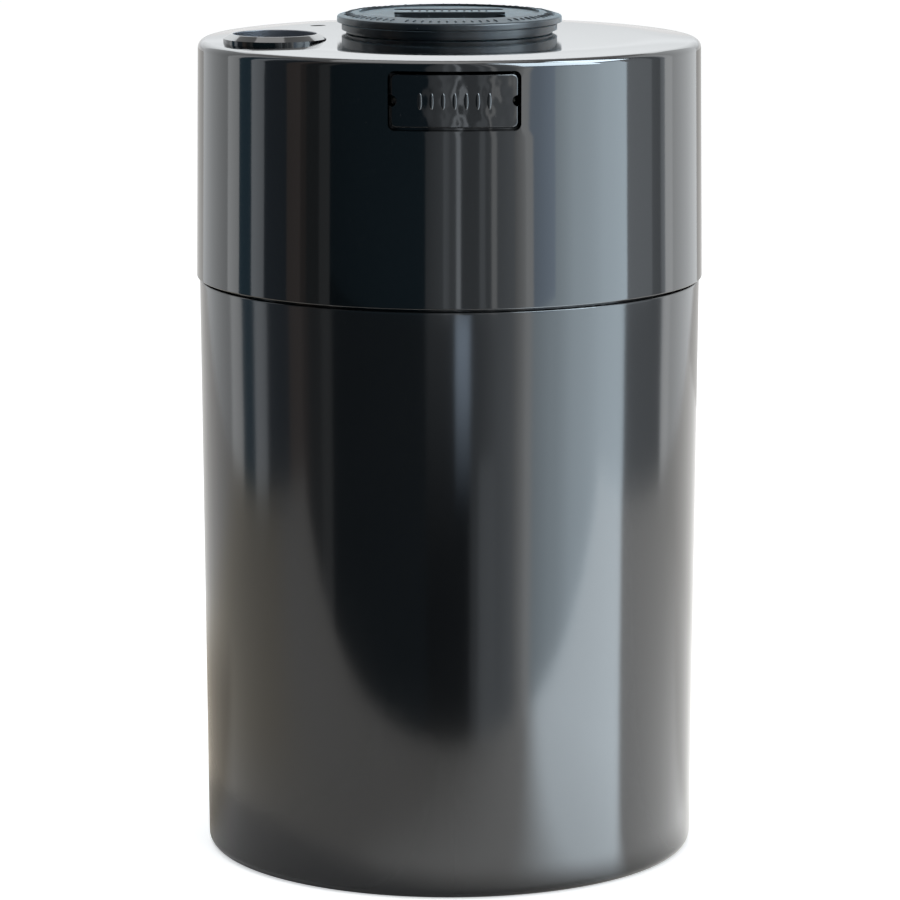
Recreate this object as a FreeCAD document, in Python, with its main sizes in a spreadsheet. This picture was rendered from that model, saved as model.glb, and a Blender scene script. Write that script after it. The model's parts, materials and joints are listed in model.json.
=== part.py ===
"""Push-button vacuum canister: one solid for each moulded, wound or screwed piece.

Millimetres. The origin is the middle of the foot on the standing plane, +Z is up and the
button faces -Y.
"""
import FreeCAD
import Part

import math
import os
import re

import Sketcher
from FreeCAD import Placement, Rotation, Vector

DIMENSIONS = {
    # Canister body, in radius and height
    "shoulder_height": 137.2,
    "cap_overhang": 0.7,
    "body_taper": 1.1,
    "base_round": 2.4,
    "shoulder_round": 0.5,
    "foot_width": 7.0,
    "foot_recess": 1.0,
    "floor_thick": 2.8,
    "floor_round": 5.0,
    "neck_gap": 1.0,
    "neck_taper": 0.2,
    "neck_wall": 1.5,
    "bore_taper": 0.5,
    "mouth_round": 0.4,
    # Cap shell
    "cap_radius": 60.0,
    "cap_height": 56.0,
    "cap_headroom": 25.8,
    "cap_taper": 0.7,
    "cap_wall": 2.2,
    "seam_gap": 0.6,
    "skirt_round": 0.25,
    "rim_round": 2.0,
    "deck_thick": 2.2,
    "land_rise": 1.4,
    "land_radius": 27.5,
    "ledge_depth": 1.8,
    "ledge_thick": 1.8,
    # Finger well and vent hole in the deck
    "well_shift": 0.16,
    "well_front": 15.0,
    "well_margin": 3.9,
    "well_rim": 0.6,
    "well_flare": 1.7,
    "well_rise": 1.1,
    "well_bevel": 1.1,
    "well_skirt": 3.0,
    "well_depth": 9.0,
    "well_wall": 1.3,
    "well_round": 0.2,
    "vent_radius": 1.9,
    "vent_shift": 4.22,
    "vent_back": 23.7,
    # Button and its window
    "window_width": 30.0,
    "window_height": 13.5,
    "window_drop": 2.25,
    "window_round": 1.6,
    "button_gap": 0.7,
    "button_recess": 0.2,
    "button_round": 1.3,
    "button_edge": 0.45,
    "button_depth": 10.0,
    "catch_margin": 1.3,
    "catch_gap": 0.3,
    "notch_radius": 1.3,
    "notch_run": 11.0,
    # Inner lid and its seal
    "lid_plate": 2.2,
    "ring_gap": 0.9,
    "ring_wall": 2.4,
    "ring_depth": 12.0,
    "groove_rise": 2.0,
    "groove_height": 4.0,
    "groove_depth": 1.3,
    "lip_gap": 0.3,
    "lip_thick": 0.8,
    "port_radius": 4.0,
    "seat_width": 1.8,
    "seat_height": 2.0,
    # Valve: plug, stem, washer and clip
    "plug_radius": 26.5,
    "plug_height": 5.0,
    "plug_flange": 2.3,
    "plug_groove": 0.5,
    "plug_rib": 1.35,
    "plug_rib_inset": 1.1,
    "plug_waist_inset": 2.1,
    "plug_rest": 0.25,
    "plug_round": 0.5,
    "band_width": 5.2,
    "band_rise": 0.55,
    "band_fall": 0.9,
    "pocket_reach": 13.0,
    "pocket_width": 10.3,
    "pocket_depth": 1.6,
    "pocket_round": 2.0,
    "grip_half": 3.2,
    "spigot_radius": 12.0,
    "spigot_depth": 4.7,
    "spigot_gap": 0.3,
    "barb_radius": 8.0,
    "barb_thick": 2.0,
    "barb_above": 1.0,
    "barb_rise": 1.5,
    "shaft_radius": 5.0,
    "collar_radius": 16.5,
    "collar_height": 14.4,
    "collar_thick": 1.4,
    "cam_half": 8.0,
    "cam_drop": 5.3,
    "foot_thick": 1.6,
    "washer_radius": 7.5,
    "washer_thick": 1.6,
    "pin_radius": 1.6,
    "pin_tail": 0.4,
    "clip_radius": 3.4,
    "clip_thick": 0.7,
    "fit_gap": 0.05,
    # Lift fork, rails and screws
    "ramp_slope": 0.4,
    "press_travel": 4.5,
    "ramp_gap": 0.2,
    "ramp_spare": 0.5,
    "prong_gap": 0.7,
    "prong_width": 5.8,
    "wing_width": 2.9,
    "wing_thick": 1.9,
    "slide_gap": 0.15,
    "bar_gap": 3.0,
    "bar_thick": 5.0,
    "upright_half": 9.0,
    "tongue_half": 8.0,
    "tongue_height": 5.4,
    "tongue_length": 6.0,
    "rail_floor": 5.3,
    "rail_gap": 0.5,
    "rail_web": 2.8,
    "rail_lip": 1.6,
    "rail_foot": 6.0,
    "rail_foot_thick": 2.2,
    "rail_inset": 3.0,
    "rail_back": 6.0,
    "boss_height": 3.0,
    "boss_radius": 2.8,
    "pilot_depth": 3.2,
    "screw_inset": 7.0,
    "screw_radius": 1.15,
    "screw_length": 5.0,
    "screw_head_radius": 2.3,
    "screw_head_thick": 1.4,
    "slot_width": 0.6,
    "slot_depth": 0.6,
    # Springs
    "spring_height": 9.8,
    "spring_length": 15.0,
    "post_thick": 4.0,
    "post_half": 5.0,
    "spring_pilot_radius": 2.2,
    "spring_pilot_length": 3.5,
    "spring_radius": 3.1,
    "spring_wire": 0.6,
    "valve_spring_radius": 14.2,
    "valve_spring_wire": 0.9,
    # How far a cut or a joined feature runs past the face it starts from
    "run_past": 1.0,
}
# Places and sizes that follow from those: the neck under the cap's headroom, the well and the
# vent in the deck between the plug's land and the rim, and the button's gear behind the wall
DERIVED = {
    "neck_height": "seam_gap + cap_height - cap_headroom",
    "deck_middle": "(land_radius + cap_radius - cap_taper) / 2",
    "deck_half": "(cap_radius - cap_taper - land_radius) / 2",
    "well_left": "sqrt((deck_middle + well_shift) ^ 2 - well_front ^ 2)",
    "well_radius": "deck_half - well_margin - well_rim - well_flare",
    "vent_left": "sqrt((deck_middle - vent_shift) ^ 2 - vent_back ^ 2)",
    "button_back": "cap_radius - button_depth",
    "bar_front": "button_back - bar_gap",
    "rail_front": "bar_front - rail_inset",
    "post_front": "bar_front - bar_thick - spring_length",
}
BUTTON_TURNS = 7
VALVE_TURNS = 4
POCKET_SIDES = ("back", "front")

# Levels and radii that several pieces share, as expressions of the sheet's names
shoulder_radius = "(cap_radius - cap_overhang)"
base_radius = f"({shoulder_radius} - body_taper)"
neck_radius = "(cap_radius - cap_wall - neck_gap)"
bore_radius = f"({neck_radius} - neck_taper - neck_wall)"
neck_top = "(shoulder_height + neck_height)"
cap_bottom = "(shoulder_height + seam_gap)"
rim_top = f"({cap_bottom} + cap_height)"
rim_radius = "(cap_radius - cap_taper)"
land_top = f"({rim_top} + land_rise)"
deck_under = f"({land_top} - deck_thick)"
lid_top = f"({neck_top} + lid_plate)"
ring_radius = f"({bore_radius} - ring_gap)"
ring_bottom = f"({neck_top} - ring_depth)"
groove_low = f"({ring_bottom} + groove_rise)"
groove_radius = f"({ring_radius} - groove_depth)"
seat_top = f"({lid_top} + seat_height)"
washer_top = f"({seat_top} + washer_thick)"
collar_low = f"({lid_top} + collar_height)"
collar_top = f"({collar_low} + collar_thick)"
barb_top = f"({deck_under} + barb_above)"
plug_top = f"({land_top} + plug_height)"
well_top = f"({land_top} + well_rise)"
window_top = f"({rim_top} - window_drop)"
window_low = f"({window_top} - window_height)"
window_mid = f"({window_top} - window_height / 2)"
rail_level = f"({lid_top} + rail_floor)"
fork_low = f"({rail_level} + slide_gap)"
prong_inner = "(washer_radius + prong_gap)"
prong_outer = f"({prong_inner} + prong_width)"
wing_outer = f"({prong_outer} + wing_width)"
rail_inner = f"({prong_outer} + rail_gap)"
rail_groove = f"({wing_outer} + slide_gap)"
rail_outer = f"({rail_groove} + rail_web)"
ramp_level = f"({collar_low} - cam_drop - ramp_gap)"
ramp_reach = "(cam_half + press_travel + ramp_spare)"
ramp_top = f"({ramp_level} + ramp_slope * {ramp_reach})"
spring_level = f"({lid_top} + spring_height)"
bar_rear = "(bar_front - bar_thick)"
screw_column = f"({rail_outer} + rail_foot / 2)"

doc = FreeCAD.newDocument("canister")
sheet = doc.addObject("Spreadsheet::Sheet", "Dims")
cells = [(alias, str(size)) for alias, size in DIMENSIONS.items()]
cells += [(alias, "=" + formula) for alias, formula in DERIVED.items()]
for row, (alias, content) in enumerate(cells, 1):
    sheet.set(f"A{row}", alias)
    sheet.set(f"B{row}", content)
    sheet.setAlias(f"B{row}", alias)
doc.recompute()


def full(expression):
    """The expression with each of the sheet's names written out for another object."""
    return re.sub(r"\b[a-z]+_\w+", lambda name: "Dims." + name.group(), expression)


def value(expression):
    """The expression's present value in millimetres."""
    return float(sheet.evalExpression(full(expression)))


def bind(target, prop, expression):
    target.setExpression(prop, full(expression))


def cap_inside(level):
    """Inside radius of the tapered cap wall at a level."""
    return f"(cap_radius - cap_wall - cap_taper * ({level} - {cap_bottom}) / cap_height)"


def new_body(label):
    body = doc.addObject("PartDesign::Body", label)
    body.Label = label
    return body


def finish(body, feature, cut=False):
    """Recompute a body and stop if its newest feature failed or a cut took nothing."""
    before = 0 if body.Shape.isNull() else body.Shape.Volume
    body.Tip = feature
    doc.recompute()
    if "Invalid" in feature.State or body.Shape.isNull() or not body.Shape.isValid():
        raise RuntimeError(f"{body.Label}: {feature.Label} failed")
    if cut and body.Shape.Volume > before - 1e-3:
        raise RuntimeError(f"{body.Label}: {feature.Label} cuts nothing")
    return feature


def new_sketch(body, name, role, offset=None):
    """A sketch on one of the body's own origin planes, moved along its normal."""
    sketch = body.newObject("Sketcher::SketchObject", name)
    plane = next(item for item in body.Origin.OriginFeatures if item.Role == role)
    sketch.AttachmentSupport = (plane, [""])
    sketch.MapMode = "FlatFace"
    if offset:
        bind(sketch, "AttachmentOffset.Base.z", offset)
    return sketch


def place(sketch, geometry, end, x, y):
    """Fix a point of the sketch at bound distances from its origin."""
    for kind, distance, axis in (("DistanceX", x, -2), ("DistanceY", y, -1)):
        if distance == "0":
            sketch.addConstraint(Sketcher.Constraint("PointOnObject", geometry, end, axis))
            continue
        rule = Sketcher.Constraint(kind, -1, 1, geometry, end, value(distance))
        bind(sketch, f"Constraints[{sketch.addConstraint(rule)}]", distance)


def axis_arc(start, end):
    """The arc between two points whose centre lies on the sketch's vertical axis."""
    middle = start.x ** 2 + start.y ** 2 - end.x ** 2 - end.y ** 2
    centre = Vector(0, middle / (2 * (start.y - end.y)), 0)
    angles = [math.atan2(point.y - centre.y, point.x) for point in (start, end)]
    circle = Part.Circle(centre, Vector(0, 0, 1), start.distanceToPoint(centre))
    return Part.ArcOfCircle(circle, min(angles), max(angles)), angles[0] < angles[1]


def outline(body, name, role, corners, domes=(), offset=None):
    """A closed outline through bound corners; the sides listed in domes are arcs."""
    sketch = new_sketch(body, name, role, offset)
    points = [Vector(value(x), value(y), 0) for x, y in corners]
    ends = []
    for side, start in enumerate(points):
        end = points[(side + 1) % len(points)]
        forward = True
        if side in domes:
            curve, forward = axis_arc(start, end)
        else:
            curve = Part.LineSegment(start, end)
        sketch.addGeometry(curve, False)
        ends.append((1, 2) if forward else (2, 1))
    for side, (start, end) in enumerate(ends):
        after = (side + 1) % len(ends)
        sketch.addConstraint(
            Sketcher.Constraint("Coincident", side, end, after, ends[after][0]))
    for side in domes:
        sketch.addConstraint(Sketcher.Constraint("PointOnObject", side, 3, -2))
    for side, (x, y) in enumerate(corners):
        place(sketch, side, ends[side][0], x, y)
    return sketch


def rounded_outline(body, name, role, spans, corner, offset=None):
    """A rectangle with bound sides and corner radius, given as two (low, high) spans."""
    (left, right), (low, high) = spans
    sketch = new_sketch(body, name, role, offset)
    x0, x1, y0, y1, radius = (value(item) for item in (left, right, low, high, corner))
    turns = ((x1, y0, 270), (x1, y1, 0), (x0, y1, 90), (x0, y0, 180))
    for x, y, angle in turns:
        centre = Vector(x + radius * (1 if x == x0 else -1), y + radius * (1 if y == y0 else -1), 0)
        circle = Part.Circle(centre, Vector(0, 0, 1), radius)
        arc = Part.ArcOfCircle(circle, math.radians(angle), math.radians(angle + 90))
        sketch.addGeometry(arc, False)
    for side in range(4):
        start = sketch.getPoint(side, 2)
        end = sketch.getPoint((side + 1) % 4, 1)
        sketch.addGeometry(Part.LineSegment(start, end), False)
    for side in range(4):
        sketch.addConstraint(Sketcher.Constraint("Tangent", side, 2, side + 4, 1))
        sketch.addConstraint(Sketcher.Constraint("Tangent", side + 4, 2, (side + 1) % 4, 1))
        sketch.addConstraint(
            Sketcher.Constraint("Vertical" if side % 2 == 0 else "Horizontal", side + 4))
        if side:
            sketch.addConstraint(Sketcher.Constraint("Equal", 0, side))
    rules = (("DistanceX", 4, right), ("DistanceY", 5, high),
             ("DistanceX", 6, left), ("DistanceY", 7, low))
    for kind, side, distance in rules:
        rule = Sketcher.Constraint(kind, -1, 1, side, 1, value(distance))
        bind(sketch, f"Constraints[{sketch.addConstraint(rule)}]", distance)
    rule = Sketcher.Constraint("Radius", 0, radius)
    bind(sketch, f"Constraints[{sketch.addConstraint(rule)}]", corner)
    return sketch


def revolve(body, name, corners, domes=(), cut=False, axis=None, offset=None):
    """Turn a profile of (radius, height) corners about Z, or about an upright line."""
    if axis:
        corners = [(f"{axis} + {radius}", height) for radius, height in corners]
    sketch = outline(body, name + "_profile", "XZ_Plane", corners, domes, offset)
    line = "V_Axis"
    if axis:
        low, high = (value(corners[end][1]) for end in (0, -1))
        x = value(axis)
        centre = sketch.addGeometry(Part.LineSegment(Vector(x, low, 0), Vector(x, high, 0)), True)
        for end in (1, 2):
            place(sketch, centre, end, axis, corners[1 - end][1])
        line = "Axis0"
    doc.recompute()
    kind = "PartDesign::Groove" if cut else "PartDesign::Revolution"
    turned = body.newObject(kind, name)
    turned.Profile = sketch
    turned.ReferenceAxis = (sketch, [line])
    turned.Angle = 360
    return finish(body, turned, cut)


def extrude(body, name, sketch, length, cut=False):
    """Pad along the sketch's normal, or pocket along it."""
    doc.recompute()
    feature = body.newObject("PartDesign::Pocket" if cut else "PartDesign::Pad", name)
    feature.Profile = sketch
    bind(feature, "Length", length)
    if cut:
        feature.Reversed = True
    return finish(body, feature, cut)


def block(body, name, xs, ys, zs, cut=False):
    """A box between bound limits along X, Y and Z."""
    kind = "PartDesign::SubtractiveBox" if cut else "PartDesign::AdditiveBox"
    solid = body.newObject(kind, name)
    for size, axis, (low, high) in (("Length", "x", xs), ("Width", "y", ys), ("Height", "z", zs)):
        bind(solid, size, f"({high}) - ({low})")
        bind(solid, f"Placement.Base.{axis}", low)
    return finish(body, solid, cut)


def rod(body, name, radius, start, length, along_y=False, cut=False):
    """A cylinder from a bound start point, upright or towards +Y."""
    kind = "PartDesign::SubtractiveCylinder" if cut else "PartDesign::AdditiveCylinder"
    solid = body.newObject(kind, name)
    if along_y:
        solid.Placement = Placement(Vector(), Rotation(Vector(1, 0, 0), -90))
    bind(solid, "Radius", radius)
    bind(solid, "Height", length)
    for axis, distance in zip("xyz", start):
        bind(solid, f"Placement.Base.{axis}", distance)
    return finish(body, solid, cut)


def round_rings(body, name, radius, rings, centre=("0", "0")):
    """Round the circular edges of the given (radius, height) about an upright axis."""
    x, y = (value(item) for item in centre)
    wanted = [(value(r), value(z)) for r, z in rings]
    names = []
    for number, edge in enumerate(body.Shape.Edges, 1):
        curve = edge.Curve
        if not isinstance(curve, Part.Circle):
            continue
        if math.hypot(curve.Center.x - x, curve.Center.y - y) > 1e-4:
            continue
        if any(abs(curve.Radius - r) + abs(curve.Center.z - z) < 1e-3 for r, z in wanted):
            names.append(f"Edge{number}")
    return round_edges(body, name, radius, names, len(rings))


def round_front(body, name, radius, wall):
    """Round the edges that lie on an upright cylinder of radius wall."""
    reach = value(wall)
    names = [f"Edge{number}" for number, edge in enumerate(body.Shape.Edges, 1)
             if all(abs(math.hypot(spot.x, spot.y) - reach) < 1e-3
                    for spot in edge.discretize(5))]
    return round_edges(body, name, radius, names, 1)


def round_edges(body, name, radius, names, least):
    """Round the named edges, which are at least so many."""
    if len(names) < least:
        raise RuntimeError(f"{body.Label}: {name} finds {len(names)} of {least} edges")
    base = body.Tip
    fillet = body.newObject("PartDesign::Fillet", name)
    fillet.Base = (base, names)
    bind(fillet, "Radius", radius)
    return finish(body, fillet)


def mirror(body, name, features):
    """Repeat features on the other side of the body's YZ plane."""
    copy = body.newObject("PartDesign::Mirrored", name)
    copy.Originals = features
    plane = next(item for item in body.Origin.OriginFeatures if item.Role == "YZ_Plane")
    copy.MirrorPlane = (plane, [""])
    return finish(body, copy)


def biarc(start, end, start_way, end_way):
    """Two arcs that join two points and leave and arrive along two unit directions."""
    chord = end - start
    ways = start_way + end_way
    spread = 4 - ways.dot(ways)
    along = chord.dot(ways)
    reach = (math.sqrt(along ** 2 + spread * chord.dot(chord)) - along) / spread
    first = start + start_way * reach
    last = end - end_way * reach
    middle = (first + last) * 0.5
    edges = []
    for a, corner, b in ((start, first, middle), (middle, last, end)):
        half = (a + b) * 0.5
        height = corner - half
        turn = math.atan2(height.Length, a.distanceToPoint(half))
        sagitta = a.distanceToPoint(half) * math.tan(turn / 2)
        edges.append(Part.Arc(a, half + height * (sagitta / height.Length), b).toShape())
    return edges


def coil(label, radius, wire, low, high, turns, placement):
    """An open compression spring between two seats, wound as quarter turns."""
    radius, wire, low, high = (value(item) for item in (radius, wire, low, high))
    pitch = (high - low - wire) / turns
    rise = pitch / (2 * math.pi)

    def station(angle):
        point = Vector(radius * math.cos(angle), radius * math.sin(angle),
                       low + wire / 2 + rise * angle)
        way = Vector(-radius * math.sin(angle), radius * math.cos(angle), rise)
        return point, way.normalize()

    edges = []
    quarter = math.pi / 2
    for step in range(4 * turns):
        (a, way_a), (b, way_b) = station(step * quarter), station((step + 1) * quarter)
        edges += biarc(a, b, way_a, way_b)
    start, way = station(0)
    section = Part.Wire(Part.Circle(start, way, wire / 2).toShape())
    shell = Part.BRepOffsetAPI.MakePipeShell(Part.Wire(edges))
    shell.add(section)
    shell.build()
    shell.makeSolid()
    spring = doc.addObject("Part::Feature", label)
    spring.Label = label
    spring.Shape = shell.shape()
    spring.Placement = placement
    points = [edge.valueAt(edge.FirstParameter) for edge in edges]
    gaps = [a.distanceToPoint(b) for i, a in enumerate(points) for b in points[i + 4:]]
    print(f"{label}: least gap to itself {min(gaps) - wire:.2f} mm")
    return spring


# Body: tapered wall, foot ring, shoulder and the neck that the cap slides over
body_shell = new_body("body_shell")
floor_top = "(foot_recess + floor_thick)"
floor_radius = f"({bore_radius} - bore_taper)"
foot_inner = f"({base_radius} - foot_width)"
revolve(body_shell, "wall", [
    ("0", "foot_recess"), (foot_inner, "foot_recess"), (foot_inner, "0"), (base_radius, "0"),
    (shoulder_radius, "shoulder_height"), (neck_radius, "shoulder_height"),
    (f"{neck_radius} - neck_taper", neck_top), (bore_radius, neck_top),
    (floor_radius, floor_top), ("0", floor_top)])
round_rings(body_shell, "base_edge", "base_round", [(base_radius, "0")])
round_rings(body_shell, "shoulder_edge", "shoulder_round", [(shoulder_radius, "shoulder_height")])
round_rings(body_shell, "floor_edge", "floor_round", [(floor_radius, floor_top)])
round_rings(body_shell, "mouth_edges", "mouth_round", [
    (f"{neck_radius} - neck_taper", neck_top), (bore_radius, neck_top)])

# Cap: skirt, crowned deck with a flat land, inner ledge, finger well, vent and window
cap_shell = new_body("cap_shell")
ledge_top = f"({lid_top} + ledge_thick)"
ledge_radius = f"({cap_inside(lid_top)} - ledge_depth)"
hole_radius = "(spigot_radius + spigot_gap)"
revolve(cap_shell, "shell", [
    (hole_radius, land_top), ("land_radius", land_top), (rim_radius, rim_top),
    ("cap_radius", cap_bottom), ("cap_radius - cap_wall", cap_bottom),
    (cap_inside(lid_top), lid_top), (ledge_radius, lid_top), (ledge_radius, ledge_top),
    (cap_inside(ledge_top), ledge_top), (f"{rim_radius} - cap_wall", f"{rim_top} - deck_thick"),
    ("land_radius", deck_under), (hole_radius, deck_under)], domes=(1, 9))
round_rings(cap_shell, "rim_edge", "rim_round", [(rim_radius, rim_top)])
round_rings(cap_shell, "skirt_edge", "skirt_round", [("cap_radius", cap_bottom)])
well_centre = ("-well_left", "-well_front")
well_floor = f"({well_top} - well_depth)"
tube_radius = "well_radius + well_wall"
collar_radius = "well_radius + well_rim"
revolve(cap_shell, "well_cup", [
    ("0", f"{well_floor} - well_wall"), (tube_radius, f"{well_floor} - well_wall"),
    (tube_radius, f"{well_top} - well_skirt"),
    (f"{collar_radius} + well_flare", f"{well_top} - well_skirt"),
    (f"{collar_radius} + well_flare", f"{well_top} - well_bevel"), (collar_radius, well_top),
    ("0", well_top)], axis="-well_left", offset="well_front")
rod(cap_shell, "well_bore", "well_radius", (*well_centre, well_floor), "well_depth + run_past",
    cut=True)
round_rings(cap_shell, "well_edges", "well_round",
            [("well_radius", well_top), (collar_radius, well_top)], well_centre)
rod(cap_shell, "vent_hole", "vent_radius",
    ("-vent_left", "vent_back", f"{rim_top} - 2 * deck_thick"), "4 * deck_thick", cut=True)
window = rounded_outline(cap_shell, "window_outline", "XZ_Plane",
                         (("-window_width / 2", "window_width / 2"), (window_low, window_top)),
                         "window_round", offset="button_back")
extrude(cap_shell, "window", window, "cap_radius - button_back + run_past", cut=True)

# Inner lid: the pressure wall that seats on the neck, with valve seat, bosses and spring post
inner_lid = new_body("inner_lid")
lid_radius = f"({cap_inside(lid_top)} - fit_gap)"
revolve(inner_lid, "plate", [
    ("port_radius", neck_top), (f"{ring_radius} - ring_wall", neck_top),
    (f"{ring_radius} - ring_wall", ring_bottom), (ring_radius, ring_bottom),
    (ring_radius, groove_low), (groove_radius, groove_low),
    (groove_radius, f"{groove_low} + groove_height"),
    (ring_radius, f"{groove_low} + groove_height"),
    (ring_radius, neck_top), (lid_radius, neck_top), (lid_radius, lid_top),
    ("port_radius + seat_width", lid_top), ("port_radius + seat_width", seat_top),
    ("port_radius", seat_top)])
block(inner_lid, "spring_post", ("-post_half", "post_half"),
      ("-post_front", "post_thick - post_front"),
      (f"{lid_top} - fit_gap", f"{spring_level} + spring_radius + spring_wire"))
rod(inner_lid, "post_pilot", "spring_pilot_radius",
    ("0", "-post_front - spring_pilot_length", spring_level), "spring_pilot_length + run_past",
    along_y=True)
screw_spots = [(f"{side}{screw_column}", row)
               for side in ("", "-")
               for row in ("screw_inset - rail_front", "-rail_back - screw_inset")]
boss_top = f"({lid_top} + boss_height)"
for number, spot in enumerate(screw_spots):
    rod(inner_lid, f"boss_{number}", "boss_radius", (*spot, f"{lid_top} - fit_gap"),
        "boss_height + fit_gap")
    rod(inner_lid, f"boss_pilot_{number}", "screw_radius + fit_gap",
        (*spot, f"{boss_top} - pilot_depth"), "pilot_depth + run_past", cut=True)

# Lip seal: a ring held in the inner lid's groove, with two lips towards the bore
lip_seal = new_body("lip_seal")
seal_inner = f"({groove_radius} + 2 * fit_gap)"
seal_low = f"({groove_low} + 2 * fit_gap)"
seal_top = f"({groove_low} + groove_height - 2 * fit_gap)"
seal_back = f"({ring_radius} - lip_thick / 2)"
lip_radius = f"({bore_radius} - lip_gap - fit_gap)"
revolve(lip_seal, "ring", [
    (seal_inner, seal_low), (seal_back, seal_low),
    (lip_radius, f"{seal_low} + lip_thick / 2"), (lip_radius, f"{seal_low} + lip_thick"),
    (seal_back, f"{seal_low} + 2 * lip_thick"), (seal_back, f"{seal_top} - 2 * lip_thick"),
    (lip_radius, f"{seal_top} - lip_thick"), (lip_radius, f"{seal_top} - lip_thick / 2"),
    (seal_back, seal_top), (seal_inner, seal_top)])

# Vent plug: rubber head over the deck, spigot through it, barb cavity and two finger pockets
vent_plug = new_body("vent_plug")
flange_low = f"({plug_top} - plug_flange)"
rib_top = f"({flange_low} - plug_groove)"
rib_low = f"({rib_top} - plug_rib)"
rib_radius = "(plug_radius - plug_rib_inset)"
waist_radius = "(plug_radius - plug_waist_inset)"
head_low = f"({land_top} + plug_rest)"
spigot_low = f"({land_top} - spigot_depth)"
band_radius = "(plug_radius - band_width)"
disc_top = f"({plug_top} - band_rise)"
band_edge = f"({plug_top} - band_fall)"
cavity_low = f"({barb_top} - barb_thick - fit_gap)"
revolve(vent_plug, "head", [
    ("0", disc_top), (band_radius, disc_top), (band_radius, plug_top), ("plug_radius", band_edge),
    ("plug_radius", flange_low), (waist_radius, flange_low), (waist_radius, rib_top),
    (rib_radius, rib_top), (rib_radius, rib_low), (waist_radius, rib_low),
    (waist_radius, head_low), ("spigot_radius", head_low), ("spigot_radius", spigot_low),
    ("shaft_radius + fit_gap", spigot_low), ("shaft_radius + fit_gap", cavity_low),
    ("barb_radius + fit_gap", cavity_low), ("barb_radius + fit_gap", f"{barb_top} + fit_gap"),
    ("shaft_radius + fit_gap", f"{barb_top} + barb_rise + fit_gap"),
    ("0", f"{barb_top} + barb_rise + fit_gap")])
round_rings(vent_plug, "flange_edge", "plug_round", [("plug_radius", band_edge)])
for side in POCKET_SIDES:
    near, far = "grip_half", "grip_half + pocket_width"
    span = (near, far) if side == "back" else (f"-({far})", f"-{near}")
    pocket = rounded_outline(vent_plug, f"{side}_pocket_outline", "XY_Plane",
                             (("-pocket_reach", "pocket_reach"), span), "pocket_round",
                             offset=f"{disc_top} - pocket_depth")
    extrude(vent_plug, f"{side}_pocket", pocket, "pocket_depth + run_past", cut=True)
block(vent_plug, "grip_bar", ("-pocket_reach", "pocket_reach"), ("-grip_half", "grip_half"),
      (f"{disc_top} - fit_gap", plug_top))

# Valve stem: poppet foot, shaft, lifting collar with two inclined cams, and the barb
valve_stem = new_body("valve_stem")
foot_top = f"({washer_top} + foot_thick)"
pin_low = f"({seat_top} - clip_thick - pin_tail)"
revolve(valve_stem, "stem", [
    ("0", pin_low), ("pin_radius", pin_low), ("pin_radius", washer_top),
    ("washer_radius", washer_top), ("washer_radius", foot_top), ("shaft_radius", foot_top),
    ("shaft_radius", collar_low), ("collar_radius", collar_low), ("collar_radius", collar_top),
    ("shaft_radius", collar_top), ("shaft_radius", f"{barb_top} - barb_thick"),
    ("barb_radius", f"{barb_top} - barb_thick"), ("barb_radius", barb_top),
    ("shaft_radius", f"{barb_top} + barb_rise"), ("0", f"{barb_top} + barb_rise")])
cam_level = f"({collar_low} - cam_drop)"
cam_side = outline(valve_stem, "cam_outline", "YZ_Plane", [
    ("-cam_half", f"{collar_low} + fit_gap"), ("-cam_half", f"{cam_level} + ramp_slope * cam_half"),
    ("cam_half", f"{cam_level} - ramp_slope * cam_half"), ("cam_half", f"{collar_low} + fit_gap")],
    offset=prong_inner)
cam = extrude(valve_stem, "cam", cam_side, "prong_width")
mirror(valve_stem, "cams", [cam])

# Washer under the poppet foot and the clip that keeps it on the pin
seat_seal = new_body("seat_seal")
revolve(seat_seal, "washer", [
    ("pin_radius + fit_gap", seat_top), ("washer_radius", seat_top),
    ("washer_radius", washer_top), ("pin_radius + fit_gap", washer_top)])
stem_clip = new_body("stem_clip")
revolve(stem_clip, "disc", [
    ("pin_radius + fit_gap", f"{seat_top} - clip_thick"),
    ("clip_radius", f"{seat_top} - clip_thick"), ("clip_radius", seat_top),
    ("pin_radius + fit_gap", seat_top)])

# Push button: catch behind the wall, curved face in the window, side notches and socket
push_button = new_body("push_button")
catch = rounded_outline(push_button, "catch_outline", "XZ_Plane", (
    ("-window_width / 2 - catch_margin", "window_width / 2 + catch_margin"),
    (f"{window_low} - catch_margin", f"{window_top} - button_gap")),
    "button_round", offset="button_back")
extrude(push_button, "catch", catch, "cap_radius - button_back")
far_out = "cap_radius + window_height"
trim_low = f"({window_low} - window_height)"
trim_top = f"({window_top} + window_height)"
for name, radius in (("catch_trim", f"{rim_radius} - cap_wall - catch_gap"),
                     ("face_trim", f"{rim_radius} - button_recess")):
    if name == "face_trim":
        face = rounded_outline(push_button, "face_outline", "XZ_Plane", (
            ("button_gap - window_width / 2", "window_width / 2 - button_gap"),
            (f"{window_low} + button_gap", f"{window_top} - button_gap")),
            "button_round", offset="button_back")
        extrude(push_button, "face", face, "cap_radius - button_back")
    revolve(push_button, name, [(radius, trim_low), (far_out, trim_low),
                                (far_out, trim_top), (radius, trim_top)], cut=True)
round_front(push_button, "face_edge", "button_edge", f"{rim_radius} - button_recess")
for side in ("-", ""):
    rod(push_button, "notch", "notch_radius",
        (f"{side}(window_width / 2 - button_gap)", "-cap_radius", window_mid), "notch_run",
        along_y=True, cut=True)
tongue_low = f"({window_mid} - tongue_height / 2)"
tongue_top = f"({window_mid} + tongue_height / 2)"
tongue_tip = "(bar_front + tongue_length)"
block(push_button, "socket", ("-tongue_half - fit_gap", "tongue_half + fit_gap"),
      (f"-{tongue_tip} - fit_gap", "run_past - button_back"),
      (f"{tongue_low} - fit_gap", f"{tongue_top} + fit_gap"), cut=True)

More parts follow.
